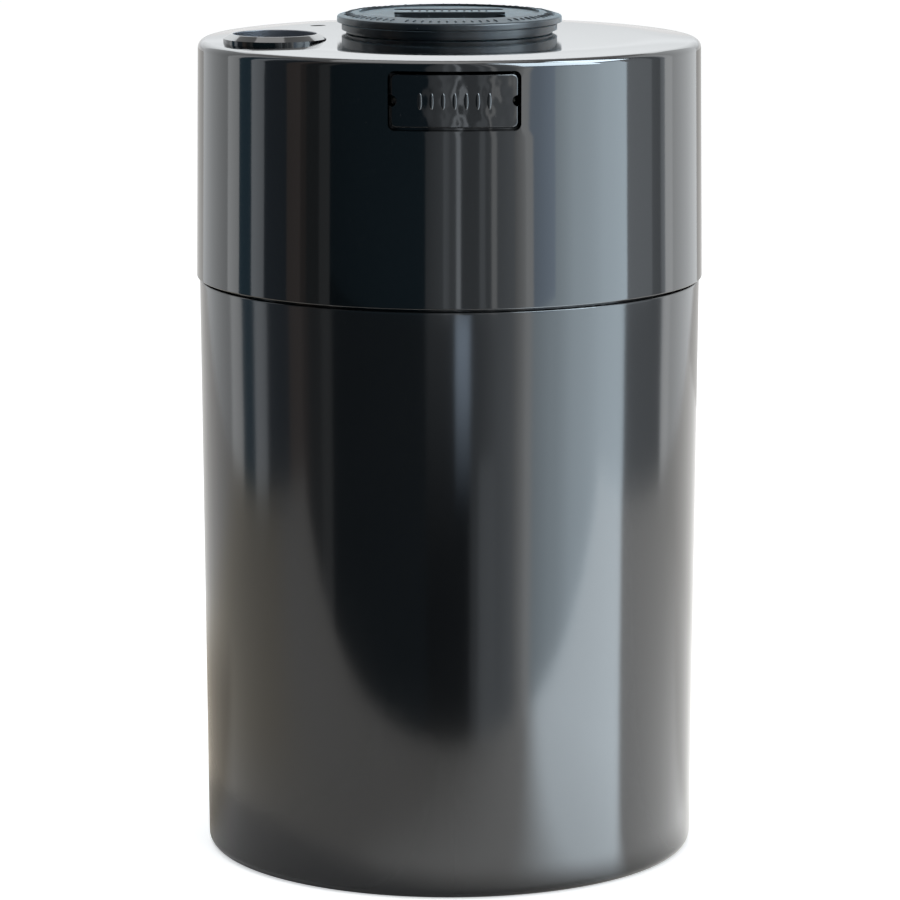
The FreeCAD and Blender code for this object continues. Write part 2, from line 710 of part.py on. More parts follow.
# Lift fork: ramped prongs under the cams, wings in the rails, cross bar and button tongue
lift_fork = new_body("lift_fork")
block(lift_fork, "cross_bar", (f"-{prong_outer}", prong_outer), ("-bar_front", f"-{bar_rear}"),
      (fork_low, ramp_top))
block(lift_fork, "upright", ("-upright_half", "upright_half"), ("-bar_front", f"-{bar_rear}"),
      (fork_low, f"{tongue_top} + slot_depth"))
block(lift_fork, "tongue", ("-tongue_half", "tongue_half"),
      (f"-{tongue_tip}", "run_past - bar_front"), (tongue_low, tongue_top))
rod(lift_fork, "bar_pilot", "spring_pilot_radius", ("0", f"-{bar_rear} - run_past", spring_level),
    "spring_pilot_length + run_past", along_y=True)
prong_side = outline(lift_fork, "prong_outline", "YZ_Plane", [
    (f"-{bar_rear} - run_past", fork_low), (f"({ramp_level} - {fork_low}) / ramp_slope", fork_low),
    (f"-{ramp_reach}", ramp_top), (f"-{bar_rear} - run_past", ramp_top)], offset=prong_inner)
prong = extrude(lift_fork, "prong", prong_side, "prong_width")
mirror(lift_fork, "prongs", [prong])
wing_back = "(press_travel + rail_back + run_past)"
for name, xs in (("right_wing", (f"{prong_outer} - run_past", wing_outer)),
                 ("left_wing", (f"-{wing_outer}", f"run_past - {prong_outer}"))):
    block(lift_fork, name, xs, ("-bar_front", f"-{wing_back}"),
          (fork_low, f"{fork_low} + wing_thick"))

# Rails: one C section with a screwed foot, and its mirror image
right_guide_rail = new_body("right_guide_rail")
slot_top = f"({rail_level} + wing_thick + 2 * slide_gap)"
rail_top = f"({slot_top} + rail_lip)"
foot_plate_top = f"({boss_top} + rail_foot_thick)"
rail_length = "rail_front - rail_back"
section = outline(right_guide_rail, "section", "XZ_Plane", [
    (rail_inner, lid_top), (rail_outer, lid_top), (rail_outer, boss_top),
    (f"{rail_outer} + rail_foot", boss_top), (f"{rail_outer} + rail_foot", foot_plate_top),
    (rail_outer, foot_plate_top), (rail_outer, rail_top), (rail_inner, rail_top),
    (rail_inner, slot_top), (rail_groove, slot_top), (rail_groove, rail_level),
    (rail_inner, rail_level)], offset="rail_back")
extrude(right_guide_rail, "rail", section, rail_length)
for number, (column, row) in enumerate(screw_spots[:2]):
    rod(right_guide_rail, f"screw_hole_{number}", "screw_radius + 4 * fit_gap",
        (column, row, f"{boss_top} - run_past"), "rail_foot_thick + 2 * run_past", cut=True)
left_guide_rail = doc.addObject("Part::Mirroring", "left_guide_rail")
left_guide_rail.Label = "left_guide_rail"
left_guide_rail.Source = right_guide_rail
left_guide_rail.Normal = Vector(1, 0, 0)

# Four slotted screws that hold the rails, as one group
screws = []
for number, (column, row) in enumerate(screw_spots):
    shank = doc.addObject("Part::Cylinder", f"screw_shank_{number}")
    head = doc.addObject("Part::Cylinder", f"screw_head_{number}")
    slot = doc.addObject("Part::Box", f"screw_slot_{number}")
    bind(shank, "Radius", "screw_radius")
    bind(shank, "Height", "screw_length + fit_gap")
    bind(head, "Radius", "screw_head_radius")
    bind(head, "Height", "screw_head_thick")
    bind(slot, "Length", "4 * screw_head_radius")
    bind(slot, "Width", "slot_width")
    bind(slot, "Height", "2 * slot_depth")
    levels = ((shank, column, row, f"{foot_plate_top} - screw_length"),
              (head, column, row, foot_plate_top),
              (slot, f"{column} - 2 * screw_head_radius", f"{row} - slot_width / 2",
               f"{foot_plate_top} + screw_head_thick - slot_depth"))
    for solid, x, y, z in levels:
        for axis, distance in zip("xyz", (x, y, z)):
            bind(solid, f"Placement.Base.{axis}", distance)
    joined = doc.addObject("Part::Fuse", f"screw_blank_{number}")
    joined.Base, joined.Tool = shank, head
    screw = doc.addObject("Part::Cut", f"screw_{number}")
    screw.Base, screw.Tool = joined, slot
    screws.append(screw)
rail_screws = doc.addObject("Part::Compound", "rail_screws")
rail_screws.Label = "rail_screws"
rail_screws.Links = screws

# Springs: one closes the valve from under the deck, one returns the button
valve_spring = coil("valve_spring", "valve_spring_radius", "valve_spring_wire", collar_top,
                    deck_under, VALVE_TURNS, Placement())
button_spring = coil("button_spring", "spring_radius", "spring_wire", "0",
                     f"{bar_rear} - post_front", BUTTON_TURNS,
                     Placement(Vector(0, -value(bar_rear), value(spring_level)),
                               Rotation(Vector(1, 0, 0), -90)))

doc.recompute()
for item in doc.Objects:
    if "Invalid" in item.State or "Error" in item.State:
        raise RuntimeError(f"{item.Label} did not compute")
os.makedirs("parts", exist_ok=True)
nodes = [body_shell, cap_shell, inner_lid, lip_seal, vent_plug, valve_stem, seat_seal, stem_clip,
         push_button, lift_fork, right_guide_rail, left_guide_rail, rail_screws, valve_spring,
         button_spring]
for node in nodes:
    if node.Shape.isNull() or not node.Shape.isValid():
        raise RuntimeError(f"{node.Label} has no valid shape")
    node.Shape.exportStep(f"parts/{node.Label}.step")
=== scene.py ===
"""Push-button vacuum canister: finishes, small raised marks, springs, light and camera.

Metres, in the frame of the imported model. The button faces -Y and +Z is up.
"""
import json
import math

import bpy
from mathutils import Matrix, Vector


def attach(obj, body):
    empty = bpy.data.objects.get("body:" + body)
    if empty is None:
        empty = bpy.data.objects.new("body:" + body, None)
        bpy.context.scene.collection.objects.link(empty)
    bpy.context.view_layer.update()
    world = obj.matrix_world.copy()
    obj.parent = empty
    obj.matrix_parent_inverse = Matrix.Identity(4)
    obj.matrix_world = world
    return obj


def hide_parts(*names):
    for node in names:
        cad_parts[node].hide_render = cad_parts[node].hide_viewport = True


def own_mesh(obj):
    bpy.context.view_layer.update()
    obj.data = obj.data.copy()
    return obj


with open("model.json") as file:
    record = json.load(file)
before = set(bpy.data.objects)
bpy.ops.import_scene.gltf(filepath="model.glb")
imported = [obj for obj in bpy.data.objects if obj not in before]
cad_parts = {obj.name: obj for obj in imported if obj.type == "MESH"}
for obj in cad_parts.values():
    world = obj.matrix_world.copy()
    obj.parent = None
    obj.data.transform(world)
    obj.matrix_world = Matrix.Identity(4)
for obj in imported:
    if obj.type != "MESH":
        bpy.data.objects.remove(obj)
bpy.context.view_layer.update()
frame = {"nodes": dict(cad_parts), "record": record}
MM = 0.001
scene = bpy.context.scene


# Node trees

class Wire:
    """An output socket that takes part in sums: each operator adds a Math node."""

    def __init__(self, tree, socket):
        self.tree = tree
        self.socket = socket

    def math(self, operation, *others):
        return self.tree.sum(operation, self, *others)

    def __add__(self, other):
        return self.math("ADD", other)

    def __radd__(self, other):
        return self.tree.sum("ADD", other, self)

    def __sub__(self, other):
        return self.math("SUBTRACT", other)

    def __rsub__(self, other):
        return self.tree.sum("SUBTRACT", other, self)

    def __mul__(self, other):
        return self.math("MULTIPLY", other)

    def __rmul__(self, other):
        return self.tree.sum("MULTIPLY", other, self)

    def __truediv__(self, other):
        return self.math("DIVIDE", other)

    def __pow__(self, other):
        return self.math("POWER", other)

    def __gt__(self, other):
        return self.math("GREATER_THAN", other)

    def __lt__(self, other):
        return self.math("LESS_THAN", other)


class Tree:
    """A node tree written as calls."""

    def __init__(self, tree):
        self.tree = tree
        tree.nodes.clear()

    @staticmethod
    def pick(sockets, key):
        """The socket in use with this name or number."""
        shown = [socket for socket in sockets if socket.enabled]
        if isinstance(key, int):
            return shown[key]
        return next(socket for socket in shown if socket.name == key)

    def add(self, kind, settings=None, sockets=None, out=0):
        """Any node: its settings first, then the values or wires of its sockets."""
        node = self.tree.nodes.new(kind)
        for key, setting in (settings or {}).items():
            setattr(node, key, setting)
        for key, value in (sockets or {}).items():
            self.put(self.pick(node.inputs, key), value)
        return Wire(self, self.pick(node.outputs, out)) if node.outputs else None

    def put(self, socket, value):
        """A wire or a value into a socket."""
        if isinstance(value, Wire):
            self.tree.links.new(value.socket, socket)
        elif socket.type == "RGBA" and len(value) == 3:
            socket.default_value = (*value, 1)
        else:
            socket.default_value = value

    def sum(self, operation, *terms):
        return self.add("ShaderNodeMath", {"operation": operation}, dict(enumerate(terms)))

    def parts(self, vector):
        """The three numbers of a vector."""
        node = self.tree.nodes.new("ShaderNodeSeparateXYZ")
        self.put(node.inputs[0], vector)
        return [Wire(self, socket) for socket in node.outputs]


class Paint(Tree):
    """A material's tree. Patterns lie on Object coordinates."""

    def __init__(self, name):
        self.material = bpy.data.materials.new(name)
        self.material.use_nodes = True
        super().__init__(self.material.node_tree)
        self.place = self.add("ShaderNodeTexCoord", out="Object")

    def stretched(self, scale):
        return self.add("ShaderNodeMapping", sockets={"Vector": self.place, "Scale": scale})

    def noise(self, scale, detail, at=None):
        return self.add("ShaderNodeTexNoise", sockets={
            "Vector": at or self.place, "Scale": scale, "Detail": detail})

    def cells(self, scale):
        return self.add("ShaderNodeTexVoronoi", sockets={
            "Vector": self.place, "Scale": scale}, out="Distance")

    def band(self, wire, low, high):
        """0 below low, 1 above high, eased; the other way round where low is the greater."""
        return self.add("ShaderNodeMapRange", {"interpolation_type": "SMOOTHSTEP"},
                        {"Value": wire, "From Min": low, "From Max": high})

    def ramp(self, wire, low, high, first, last):
        """From first at low to last at high, in a straight line."""
        return self.add("ShaderNodeMapRange", sockets={
            "Value": wire, "From Min": low, "From Max": high, "To Min": first, "To Max": last})

    def mix(self, share, first, second, kind="RGBA"):
        return self.add("ShaderNodeMix", {"data_type": kind},
                        {"Factor": share, "A": first, "B": second})

    @staticmethod
    def distance(x, y):
        return (x * x + y * y) ** 0.5

    def bump(self, height, depth, normal=None):
        sockets = {"Height": height, "Strength": 1.0, "Distance": depth}
        if normal:
            sockets["Normal"] = normal
        return self.add("ShaderNodeBump", sockets=sockets)

    def surface(self, sockets):
        shader = self.add("ShaderNodeBsdfPrincipled", sockets=sockets)
        self.add("ShaderNodeOutputMaterial", sockets={"Surface": shader})
        return self.material


# Finishes

LEAN, LEAN_FROM = 0.14, 0.77
FLATNESS, LEVEL_FACE = 0.9, 0.995


def rim_normal(paint, ring, start):
    """The true normal of a rounded rim about Z, whose facets are coarse; elsewhere the mesh's.

    ring: radius and height of the line through the round's centres; start: where it begins.
    The crowned top inside the rim is polished almost flat, and leans out towards the rim.
    """
    x, y, z = paint.parts(paint.place)
    reach = paint.distance(x, y)

    def facing(out, up):
        vector = paint.add("ShaderNodeCombineXYZ", sockets={"X": x * out, "Y": y * out, "Z": up})
        return paint.add("ShaderNodeVectorTransform", {
            "vector_type": "NORMAL", "convert_from": "OBJECT", "convert_to": "WORLD"},
            {"Vector": vector})

    mesh = paint.add("ShaderNodeNewGeometry", out="Normal")
    above = z > start[1]
    lean = LEAN * paint.band(reach, LEAN_FROM * start[0], start[0])
    top = paint.mix(FLATNESS * above * (paint.parts(mesh)[2] > LEVEL_FACE), mesh,
                    facing(lean / reach, 1.0), "VECTOR")
    return paint.mix((reach > start[0]) * above, top,
                     facing((reach - ring[0]) / reach, z - ring[1]), "VECTOR")


def polished(name, dark, pearl, rough, smear, ripple, ripple_scale, rim=None, well=None):
    """Polished dark moulding: pearl drift, faint smears, fine dust and a slow ripple.

    rim: see rim_normal; well: middle and radius of an upright bore, left semi-matte inside and
    coloured lighter there as painted light in the hollow.
    """
    paint = Paint(name)
    drift = paint.noise(38, 3)
    fleck = paint.band(paint.noise(3200, 1), 0.56, 0.72)
    dust = paint.band(paint.cells(420), 0.05, 0.02)
    wiped = paint.noise(55, 4, at=paint.stretched((1, 1, 0.22)))
    colour = paint.mix(drift * 0.5 + fleck * 0.35, dark, pearl)
    colour = paint.mix(dust * 0.10, colour, (0.30, 0.31, 0.32))
    rough = rough + smear * (wiped - 0.4) + dust * 0.1
    if well:
        x, y, _ = paint.parts(paint.place)
        # Inside the well: a rougher, semi-matte finish, and a lighter, bluer colour that is
        # painted light for the light seen in the hollow.
        satin_and_painted_light = paint.distance(x - well[0], y - well[1]) < well[2]
        colour = paint.mix(satin_and_painted_light, colour, WELL_PAINTED_LIGHT)
        rough = rough + 0.34 * satin_and_painted_light
    skin = paint.bump(paint.noise(ripple_scale, 1), ripple,
                      rim_normal(paint, *rim) if rim else None)
    return paint.surface({
        "Base Color": colour, "Roughness": rough, "IOR": 1.5, "Normal": skin})


def moulded_rubber(name, dark, bloom, rough, grain_depth, shine, edge=0.0):
    """Matte rubber: fine grain, a grey bloom and a little lint; edge: gloss of upright faces."""
    paint = Paint(name)
    grain = paint.noise(5200, 2)
    cloud = paint.noise(160, 4)
    lint = paint.band(paint.cells(520), 0.09, 0.03)
    colour = paint.mix(cloud * 0.6 + grain * 0.25, dark, bloom)
    colour = paint.mix(lint * 0.30, colour, (0.22, 0.23, 0.24))
    coat = 0.0
    if edge:
        rise = paint.parts(paint.add("ShaderNodeNewGeometry", out="Normal"))[2]
        coat = edge * paint.band(rise, 0.6, 0.2)
    return paint.surface({
        "Base Color": colour, "Roughness": rough + 0.16 * (cloud - 0.5) + 0.08 * lint,
        "Coat Weight": coat, "Coat Roughness": 0.24,
        "IOR": 1.5, "Specular IOR Level": shine, "Sheen Weight": 0.55, "Sheen Roughness": 0.3,
        "Sheen Tint": (0.62, 0.86, 1.0), "Normal": paint.bump(grain, grain_depth)})


def textured_plastic(name, dark, light, rough, scale, depth):
    """Moulding with a spark-eroded texture."""
    paint = Paint(name)
    pits = paint.cells(scale)
    cloud = paint.noise(70, 3)
    return paint.surface({
        "Base Color": paint.mix(cloud * 0.7 + pits * 0.3, dark, light),
        "Roughness": rough + 0.1 * (cloud - 0.5), "IOR": 1.49,
        "Normal": paint.bump(pits, depth)})


def drawn_steel(name, dark, light, rough, along):
    """Wire or turned steel with fine drawing lines along one way."""
    paint = Paint(name)
    lines = paint.noise(1800, 3, at=paint.stretched(along))
    stain = paint.noise(240, 3)
    return paint.surface({
        "Base Color": paint.mix(lines * 0.6 + stain * 0.4, dark, light), "Metallic": 1.0,
        "Roughness": rough + 0.12 * (stain - 0.5), "Normal": paint.bump(lines, 0.000004)})


CAP_RING, CAP_ROUND = (57.32 * MM, 191.92 * MM), (57.44 * MM, 191.94 * MM)
BLACK_PEARL = (0.0020, 0.0030, 0.0036)
PEARL_LIGHT = (0.0045, 0.0055, 0.0065)
# Painted light: the lighter, bluer colour inside the well.
WELL_PAINTED_LIGHT = (0.045, 0.054, 0.070)
WELL = (-40.9 * MM, -15.0 * MM, 9.9 * MM)
finishes = {
    # The body is coloured lighter than the cap, partly its own tone and partly painted light for
    # the table's glow on its lower wall.
    "body_gloss": polished("body_gloss", (0.0050, 0.0060, 0.0070), (0.0085, 0.0098, 0.0110),
                           0.115, 0.04, 0.00002, 70),
    "cap_gloss": polished("cap_gloss", BLACK_PEARL, PEARL_LIGHT, 0.065, 0.03, 0.00001, 60,
                          rim=(CAP_RING, CAP_ROUND), well=WELL),
    "button_gloss": polished("button_gloss", (0.0014, 0.0018, 0.0022), (0.004, 0.005, 0.006),
                             0.08, 0.04, 0.00020, 230),
    "plug_rubber": moulded_rubber("plug_rubber", (0.0010, 0.0026, 0.0040),
                                  (0.0040, 0.0075, 0.0105), 0.46, 0.000016, 0.12, edge=0.55),
    "seal_rubber": moulded_rubber("seal_rubber", (0.055, 0.056, 0.058), (0.10, 0.10, 0.105),
                                  0.55, 0.00001, 0.5),
    "inner_plastic": textured_plastic("inner_plastic", (0.018, 0.019, 0.021),
                                      (0.034, 0.035, 0.038), 0.48, 1500, 0.00003),
    "acetal": textured_plastic("acetal", (0.60, 0.585, 0.53), (0.70, 0.69, 0.64), 0.36, 900,
                               0.00001),
    "spring_steel": drawn_steel("spring_steel", (0.33, 0.33, 0.32), (0.52, 0.52, 0.50), 0.26,
                                (1, 1, 6)),
    "screw_steel": drawn_steel("screw_steel", (0.40, 0.41, 0.42), (0.58, 0.59, 0.60), 0.24,
                               (6, 6, 1)),
}
for row in frame["record"]["subparts"]:
    frame["nodes"][row["node"]].material_slots[0].material = finishes[row["material_slot"]]


# Pieces made by geometry nodes

class Maker(Tree):
    """A geometry tree with named sizes as its inputs."""

    def __init__(self, name, sizes):
        tree = bpy.data.node_groups.new(name, "GeometryNodeTree")
        super().__init__(tree)
        self.name = name
        self.values = {}
        tree.interface.new_socket("Start", in_out="INPUT", socket_type="NodeSocketGeometry")
        for label, size in sizes.items():
            kind = "NodeSocketInt" if isinstance(size, int) else "NodeSocketFloat"
            item = tree.interface.new_socket(label, in_out="INPUT", socket_type=kind)
            self.values[item.identifier] = size
        tree.interface.new_socket("Geometry", in_out="OUTPUT",
                                  socket_type="NodeSocketGeometry")
        self.group = tree.nodes.new("NodeGroupInput")
        self.size = {label: Wire(self, self.group.outputs[label]) for label in sizes}
        self.first = bpy.data.meshes.new(name + "_start")

    def xyz(self, x=0.0, y=0.0, z=0.0):
        return self.add("ShaderNodeCombineXYZ", sockets={"X": x, "Y": y, "Z": z})

    def node(self, kind, settings=None, sockets=None, out=0):
        return self.add("GeometryNode" + kind, settings, sockets, out)

    def start(self, mesh):
        """Let the tree begin from a mesh."""
        self.first = mesh
        return Wire(self, self.group.outputs["Start"])

    def piece(self, geometry, body, slot, sharp=math.pi):
        """Close the tree, take the plain mesh from it and put it on its body."""
        whole = self.node("RealizeInstances", sockets={"Geometry": geometry})
        smooth = self.node("SetShadeSmooth", sockets={"Geometry": whole})
        edge = self.node("InputMeshEdgeAngle", out="Unsigned Angle") > sharp
        smooth = self.node("SetShadeSmooth", {"domain": "EDGE"}, {
            "Geometry": smooth, "Selection": edge, "Shade Smooth": False})
        painted = self.node("SetMaterial", sockets={
            "Geometry": smooth, "Material": finishes[slot]})
        self.add("NodeGroupOutput", sockets={"Geometry": painted})
        piece = bpy.data.objects.new(self.name, self.first)
        scene.collection.objects.link(piece)
        modifier = piece.modifiers.new("make", "NODES")
        modifier.node_group = self.tree
        for identifier, value in self.values.items():
            modifier[identifier] = value
        graph = bpy.context.evaluated_depsgraph_get()
        mesh = bpy.data.meshes.new_from_object(piece.evaluated_get(graph))
        piece.modifiers.remove(modifier)
        piece.data = mesh
        mesh.name = self.name
        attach(piece, body)
        return piece


def rounded_profile(corners, steps=10, guard=0.15 * MM):
    """Corners (radius, height, rounding) as one line, with arcs and a point beside each bend."""
    spots = [Vector(corner[:2]) for corner in corners]
    line = [spots[0]]
    for before, here, after, (_, _, rounding) in zip(spots, spots[1:], spots[2:], corners[1:]):
        back, on = (before - here).normalized(), (after - here).normalized()
        half = back.angle(on) / 2
        reach = rounding / math.tan(half)
        bend = [here]
        if rounding:
            middle = here + (back + on).normalized() * (rounding / math.sin(half))
            first, last = (math.atan2(*reversed(here + way * reach - middle))
                           for way in (back, on))
            turn = (last - first + math.pi) % (2 * math.pi) - math.pi
            bend = [middle + rounding * Vector((math.cos(angle), math.sin(angle)))
                    for angle in (first + turn * step / steps for step in range(steps + 1))]
        line += [here + back * (reach + guard), *bend, here + on * (reach + guard)]
    return line + [spots[-1]]


def turned_body():
    """The body's wall, foot ring, shoulder, neck and bore, turned about Z."""
    line = rounded_profile([(r * MM, z * MM, rounding * MM) for r, z, rounding in (
        (0, 1, 0), (51.2, 1, 0), (51.2, 0, 0), (58.2, 0, 2.4), (59.3, 137.2, 0.5),
        (56.8, 137.2, 0), (56.6, 168, 0.4), (55.1, 168, 0.4), (54.6, 3.8, 5), (0, 3.8, 0))])
    hub = 30 * MM
    make = Maker("turned_body", {"segments": 384, "hub": hub, "sharp": math.radians(25)})
    size = make.size
    profile = bpy.data.meshes.new("body_profile")
    profile.from_pydata([(spot.x - hub, -spot.y, 0) for spot in line],
                        [(step, step + 1) for step in range(len(line) - 1)], [])
    profile = make.node("MeshToCurve", sockets={"Mesh": make.start(profile)})
    ring = make.node("CurvePrimitiveCircle", sockets={
        "Resolution": size["segments"], "Radius": size["hub"]})
    shell = make.node("CurveToMesh", sockets={"Curve": ring, "Profile Curve": profile})
    shell = make.node("MergeByDistance", sockets={"Geometry": shell, "Distance": 0.001 * MM})
    piece = make.piece(shell, "canister", "body_gloss", sharp=size["sharp"])
    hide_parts("body_shell")


def button_marks():
    """A row of slim raised ribs across the button's curved face."""
    make = Maker("button_marks", {
        "count": 7, "pitch": 2.6 * MM, "half_width": 0.55 * MM, "half_height": 1.9 * MM,
        "rise": 0.36 * MM, "face_radius": 59.02 * MM, "level": 184.8 * MM})
    size = make.size
    row = make.node("MeshLine", sockets={"Count": size["count"]})
    index = make.node("InputIndex")
    across = (index - (size["count"] - 1) / 2) * size["pitch"]
    turn = make.sum("ARCSINE", across / size["face_radius"])
    back = size["face_radius"] * make.sum("COSINE", turn)
    row = make.node("SetPosition", sockets={
        "Geometry": row, "Position": make.xyz(across, 0 - back, size["level"])})
    pip = make.node("MeshUVSphere", sockets={"Segments": 28, "Rings": 14, "Radius": 1.0})
    pip = make.node("Transform", sockets={"Geometry": pip, "Scale": make.xyz(
        size["half_width"], size["rise"], size["half_height"])})
    pips = make.node("InstanceOnPoints", sockets={
        "Points": row, "Instance": pip, "Rotation": make.xyz(z=turn)})
    make.piece(pips, "button", "button_gloss")


def plug_marks():
    """Raised ticks round the plug's band, in groups, and a short row on its grip bar."""
    make = Maker("plug_marks", {
        "count": 78, "group": 13, "band_radius": 23.9 * MM, "band_level": 199.75 * MM,
        "band_slope": 0.171, "half_width": 0.36 * MM, "half_length": 1.25 * MM,
        "rise": 0.30 * MM, "bar_count": 11, "bar_pitch": 1.75 * MM, "bar_level": 200.2 * MM})
    size = make.size
    index = make.node("InputIndex")
    ring = make.node("MeshCircle", sockets={
        "Vertices": size["count"], "Radius": size["band_radius"]})
    gap = make.sum("MODULO", index, size["group"]) < 0.5
    ring = make.node("DeleteGeometry", {"domain": "POINT"},
                     {"Geometry": ring, "Selection": gap})
    ring = make.node("Transform", sockets={
        "Geometry": ring, "Translation": make.xyz(z=size["band_level"])})
    x, y, _ = make.parts(make.node("InputPosition"))
    turn = make.sum("ARCTAN2", y, x)
    tick = make.node("MeshUVSphere", sockets={"Segments": 12, "Rings": 8, "Radius": 1.0})
    tick = make.node("Transform", sockets={"Geometry": tick, "Scale": make.xyz(
        size["half_length"], size["half_width"], size["rise"])})
    vary = make.add("FunctionNodeRandomValue", {"data_type": "FLOAT"},
                    {"Min": 0.72, "Max": 1.0, "Seed": 7})
    ticks = make.node("InstanceOnPoints", sockets={
        "Points": ring, "Instance": tick, "Rotation": make.xyz(0.0, size["band_slope"], turn),
        "Scale": make.xyz(vary, 1.0, vary)})
    row = make.node("MeshLine", sockets={"Count": size["bar_count"]})
    across = (index - (size["bar_count"] - 1) / 2) * size["bar_pitch"]
    row = make.node("SetPosition", sockets={
        "Geometry": row, "Position": make.xyz(across, 0.0, size["bar_level"])})
    bars = make.node("InstanceOnPoints", sockets={
        "Points": row, "Instance": tick, "Rotation": make.xyz(z=math.pi / 2)})
    join = make.tree.nodes.new("GeometryNodeJoinGeometry")
    for wire in (ticks, bars):
        make.tree.links.new(wire.socket, join.inputs[0])
    make.piece(Wire(make, join.outputs[0]), "valve", "plug_rubber")


def wound_spring(name, radius, wire, low, high, turns, along, across):
    """An open coil between two seats, along +Z or, laid over, along +Y."""
    make = Maker(name, {"radius": radius, "wire": wire, "low": low, "height": high - low,
                        "turns": float(turns)})
    size = make.size
    line = make.node("CurveSpiral", sockets={
        "Resolution": 40, "Rotations": size["turns"], "Start Radius": size["radius"],
        "End Radius": size["radius"], "Height": size["height"] - size["wire"]})
    section = make.node("CurvePrimitiveCircle", sockets={
        "Resolution": 12, "Radius": size["wire"] / 2})
    coil = make.node("CurveToMesh", sockets={
        "Curve": line, "Profile Curve": section, "Fill Caps": True})
    coil = make.node("Transform", sockets={
        "Geometry": coil, "Translation": make.xyz(z=size["low"] + size["wire"] / 2)})
    coil = make.node("Transform", sockets={
        "Geometry": coil, "Rotation": along, "Translation": across})
    piece = make.piece(coil, "cap", "spring_steel")
    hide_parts(name)
    return piece


turned_body()
button_marks()
plug_marks()
valve_coil = wound_spring("valve_spring", 14.2 * MM, 0.9 * MM, 186.0 * MM, 193.0 * MM, 4,
                          (0, 0, 0), (0, 0, 0))
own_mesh(valve_coil)
button_coil = wound_spring("button_spring", 3.1 * MM, 0.6 * MM, -42.0 * MM, -27.0 * MM, 7,
                           (-math.pi / 2, 0, 0), (0, 0, 180.0 * MM))
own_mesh(button_coil)


# Floor, cards, light and camera

def seen_rays(paint):
    """1 for rays from the camera or through clear pieces, and 1 for rays from gloss."""
    path = paint.tree.nodes.new("ShaderNodeLightPath")
    camera, gloss, through = (Wire(paint, path.outputs[label]) for label in (
        "Is Camera Ray", "Is Glossy Ray", "Is Transmission Ray"))
    return camera.math("MAXIMUM", through), gloss


def off_foot(paint, x, y):
    """0 in the shade of the canister's foot, 1 a little way out on the table."""
    return paint.band(paint.distance(x + 0.012, y), 0.060, 0.090)


def sheet_of(name, corners):
    """One flat face of the stage."""
    mesh = bpy.data.meshes.new(name)
    mesh.from_pydata(corners, [], [tuple(range(len(corners)))])
    board = bpy.data.objects.new(name, mesh)
    scene.collection.objects.link(board)
    return board


def pale_floor(half=3.0):
    """The white table, seen a little dimmer in gloss, with painted shade at the foot and the rear
    left.
    """
    floor = sheet_of("floor", [(-half, -half, 0), (half, -half, 0), (half, half, 0),
                               (-half, half, 0)])
    paint = Paint("floor_white")
    cloth = paint.noise(90, 3)
    matte = paint.add("ShaderNodeBsdfDiffuse", sockets={
        "Color": paint.mix(cloth, (0.84, 0.84, 0.84), (0.88, 0.88, 0.88))})
    x, y, _ = paint.parts(paint.place)
    seen, gloss = seen_rays(paint)
    # Painted shade: polished surfaces see the table's glow fade out at the foot and towards the
    # rear left.
    painted_shade_rear_left = paint.ramp(y - x, 0.05, 0.45, 1.0, 0.45)
    mirrored = 0.42 * gloss * off_foot(paint, x + 0.018, y) * painted_shade_rear_left
    surface = matte
    for tint, strength in ((WHITE, 0.56 * seen), (CREAM, mirrored)):
        glow = paint.add("ShaderNodeEmission", sockets={"Color": tint, "Strength": strength})
        surface = paint.add("ShaderNodeAddShader", sockets={0: surface, 1: glow})
    paint.add("ShaderNodeOutputMaterial", sockets={"Surface": surface})
    floor.data.materials.append(paint.material)


def polish_only(board):
    """Let nothing but polished surfaces see it."""
    board.visible_camera = False
    board.visible_diffuse = False
    board.visible_shadow = False


def card(name, corners, level, tint, clear=False):
    """A studio card that only polished surfaces see; level(paint, x, y, z) is its strength."""
    board = sheet_of(name, corners)
    paint = Paint(name)
    glow = paint.add("ShaderNodeEmission", sockets={
        "Color": tint, "Strength": level(paint, *paint.parts(paint.place))})
    if clear:
        through = paint.add("ShaderNodeBsdfTransparent")
        glow = paint.add("ShaderNodeAddShader", sockets={0: glow, 1: through})
    paint.add("ShaderNodeOutputMaterial", sockets={"Surface": glow})
    board.data.materials.append(paint.material)
    polish_only(board)


def standing(name, start, end, low, high, first, last, tint, fade=None):
    """An upright card from start to end, from the first to the last strength along it.

    fade: the heights between which it comes up from dark.
    """
    (x0, y0), (x1, y1) = start, end

    def level(paint, x, y, z):
        glow = paint.ramp(y, y0, y1, first, last) if x0 == x1 else \
            paint.ramp(x, x0, x1, first, last)
        return glow * paint.band(z, *fade) if fade else glow

    card(name, [(x0, y0, low), (x1, y1, low), (x1, y1, high), (x0, y0, high)], level, tint)


def lamp(name, place, aim, size, power):
    """A square white softbox that faces its aim."""
    light = bpy.data.lights.new(name, "AREA")
    light.shape = "SQUARE"
    light.size = size
    light.energy = power
    holder = bpy.data.objects.new(name, light)
    holder.location = place
    holder.rotation_euler = (Vector(aim) - Vector(place)).to_track_quat("-Z", "Y").to_euler()
    holder.visible_camera = False
    scene.collection.objects.link(holder)


